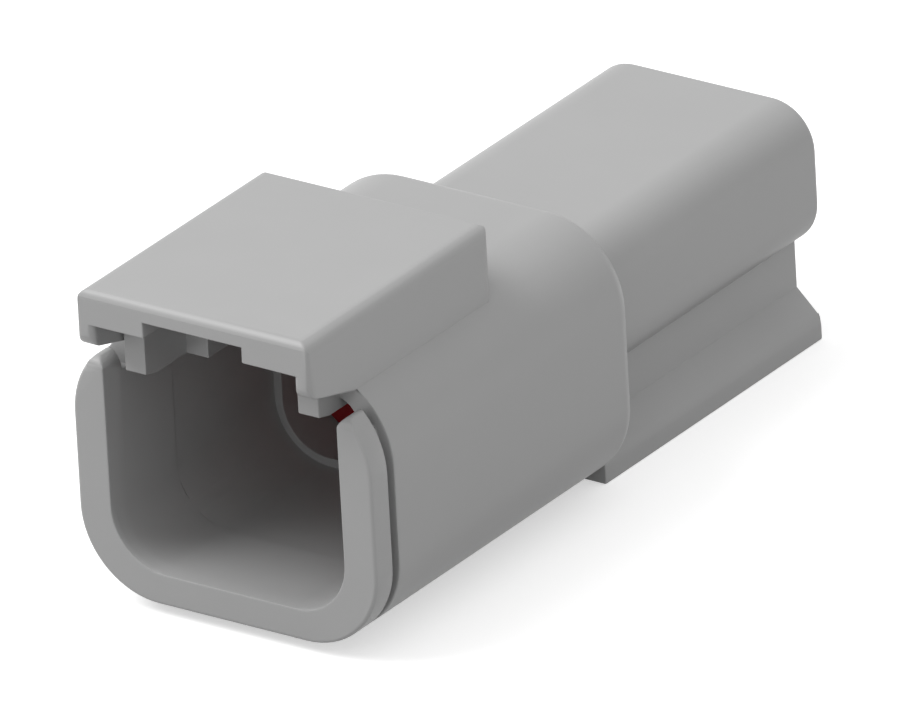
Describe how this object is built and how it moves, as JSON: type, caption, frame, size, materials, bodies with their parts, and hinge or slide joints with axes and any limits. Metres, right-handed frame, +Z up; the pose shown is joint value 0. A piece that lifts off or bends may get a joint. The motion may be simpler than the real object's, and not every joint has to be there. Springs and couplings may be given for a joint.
{
  "type": "sealed wire-to-wire connector receptacle",
  "caption": "Rectangular sealed wire connector receptacle with pin contacts, latch hood, rounded mouth, wedge lock and clip rail.",
  "frame": {"origin": "middle of the length and width, at the height of the clip rail's underside, which is the lowest face", "axes": "-Y out of the mouth, +Y towards the wires, +Z up to the latch hood, +X to the right seen from the mouth"},
  "size_m": [0.0194, 0.0486, 0.0197],
  "materials": {
    "housing_plastic": "satin moulded thermoplastic, plain grey",
    "lock_plastic": "satin moulded thermoplastic, dark red",
    "contact_metal": "nickel-plated copper alloy, turned",
    "seal_rubber": "matte silicone rubber, orange-red"
  },
  "bodies": {
    "connector": {"housing": "housing_plastic", "pin_contact_left": "contact_metal", "pin_contact_right": "contact_metal", "wire_seal": "seal_rubber", "seal_cap": "housing_plastic"},
    "lock": {"wedge_lock": "lock_plastic"}
  },
  "joints": [
    {"name": "wedge_lock_slide", "type": "slide", "parent": "connector", "child": "lock", "axis": [0, -1, 0], "range_m": [0, 0.018]}
  ]
}
